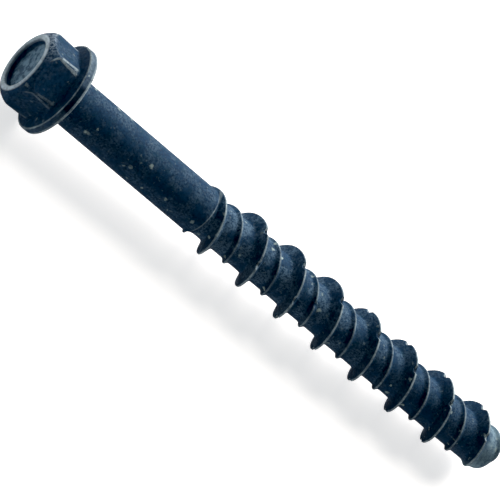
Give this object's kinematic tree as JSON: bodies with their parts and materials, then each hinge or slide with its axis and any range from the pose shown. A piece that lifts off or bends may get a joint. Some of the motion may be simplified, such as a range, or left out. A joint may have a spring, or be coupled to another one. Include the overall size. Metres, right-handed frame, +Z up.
{
  "type": "concrete screw",
  "caption": "Large self-tapping concrete screw: flanged hexagon head with a recessed top, plain shank, and a notched high-and-low thread down to a blunt tip.",
  "frame": {"origin": "on the floor under the middle of the bounding box", "axes": "+X along the screw towards its tip (the axis slopes down to the tip by the lie angle), +Z up"},
  "size_m": [0.165, 0.0246, 0.0246],
  "materials": {
    "coating": "dark navy corrosion-resistant coating on steel, mottled with pale specks and worn light along the crests and edges"
  },
  "bodies": {
    "root": {"screw": "coating"}
  },
  "joints": []
}
